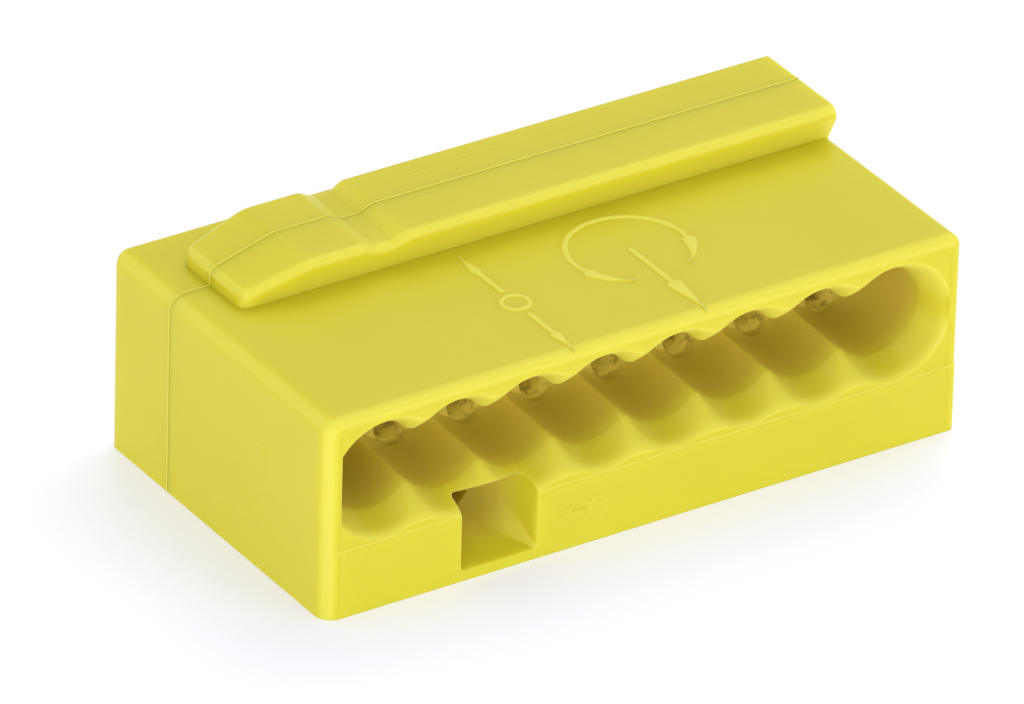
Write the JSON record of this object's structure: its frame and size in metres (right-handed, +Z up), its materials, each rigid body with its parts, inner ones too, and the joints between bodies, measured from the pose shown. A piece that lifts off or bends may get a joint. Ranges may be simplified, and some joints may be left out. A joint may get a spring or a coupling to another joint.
{
  "type": "push-wire connector",
  "caption": "Low block-shaped push-wire connector for solid conductors in junction boxes, with a scalloped wire entry, a test slot and a dovetail stacking rail.",
  "frame": {"origin": "middle of the footprint, on the flat underside", "axes": "+X along the row of wire entries (to the right when facing them), +Y from the wire entries to the rear cover, +Z up through the dovetail rail"},
  "size_m": [0.019, 0.0104, 0.0066],
  "materials": {
    "housing_plastic": "satin moulded yellow polyamide",
    "cover_plastic": "satin moulded yellow polyamide",
    "tinned_copper": "tin-plated copper, dull bright",
    "spring_steel": "rolled stainless spring steel"
  },
  "bodies": {
    "connector": {"housing": "housing_plastic", "rear_cover": "cover_plastic", "current_bar": "tinned_copper", "spring_leg_1": "spring_steel", "spring_leg_2": "spring_steel", "spring_leg_3": "spring_steel", "spring_leg_4": "spring_steel", "spring_leg_5": "spring_steel", "spring_leg_6": "spring_steel", "spring_leg_7": "spring_steel", "spring_leg_8": "spring_steel"},
    "tongue_1": {"spring_tongue_1": "spring_steel"},
    "tongue_2": {"spring_tongue_2": "spring_steel"},
    "tongue_3": {"spring_tongue_3": "spring_steel"},
    "tongue_4": {"spring_tongue_4": "spring_steel"},
    "tongue_5": {"spring_tongue_5": "spring_steel"},
    "tongue_6": {"spring_tongue_6": "spring_steel"},
    "tongue_7": {"spring_tongue_7": "spring_steel"},
    "tongue_8": {"spring_tongue_8": "spring_steel"}
  },
  "joints": [
    {"name": "clamp_1_open", "type": "hinge", "parent": "connector", "child": "tongue_1", "pos_m": [-0.00763, -0.00005, 0.00391], "axis": [1, 0, 0], "range_deg": [0, 20], "stiffness_Nm_per_rad": 0.02, "springref_deg": -5.73},
    {"name": "clamp_2_open", "type": "hinge", "parent": "connector", "child": "tongue_2", "pos_m": [-0.00547, -0.00005, 0.00391], "axis": [1, 0, 0], "range_deg": [0, 20], "stiffness_Nm_per_rad": 0.02, "springref_deg": -5.73},
    {"name": "clamp_3_open", "type": "hinge", "parent": "connector", "child": "tongue_3", "pos_m": [-0.0033, -0.00005, 0.00391], "axis": [1, 0, 0], "range_deg": [0, 20], "stiffness_Nm_per_rad": 0.02, "springref_deg": -5.73},
    {"name": "clamp_4_open", "type": "hinge", "parent": "connector", "child": "tongue_4", "pos_m": [-0.00114, -0.00005, 0.00391], "axis": [1, 0, 0], "range_deg": [0, 20], "stiffness_Nm_per_rad": 0.02, "springref_deg": -5.73},
    {"name": "clamp_5_open", "type": "hinge", "parent": "connector", "child": "tongue_5", "pos_m": [0.00102, -0.00005, 0.00391], "axis": [1, 0, 0], "range_deg": [0, 20], "stiffness_Nm_per_rad": 0.02, "springref_deg": -5.73},
    {"name": "clamp_6_open", "type": "hinge", "parent": "connector", "child": "tongue_6", "pos_m": [0.00318, -0.00005, 0.00391], "axis": [1, 0, 0], "range_deg": [0, 20], "stiffness_Nm_per_rad": 0.02, "springref_deg": -5.73},
    {"name": "clamp_7_open", "type": "hinge", "parent": "connector", "child": "tongue_7", "pos_m": [0.00534, -0.00005, 0.00391], "axis": [1, 0, 0], "range_deg": [0, 20], "stiffness_Nm_per_rad": 0.02, "springref_deg": -5.73},
    {"name": "clamp_8_open", "type": "hinge", "parent": "connector", "child": "tongue_8", "pos_m": [0.00751, -0.00005, 0.00391], "axis": [1, 0, 0], "range_deg": [0, 20], "stiffness_Nm_per_rad": 0.02, "springref_deg": -5.73}
  ]
}
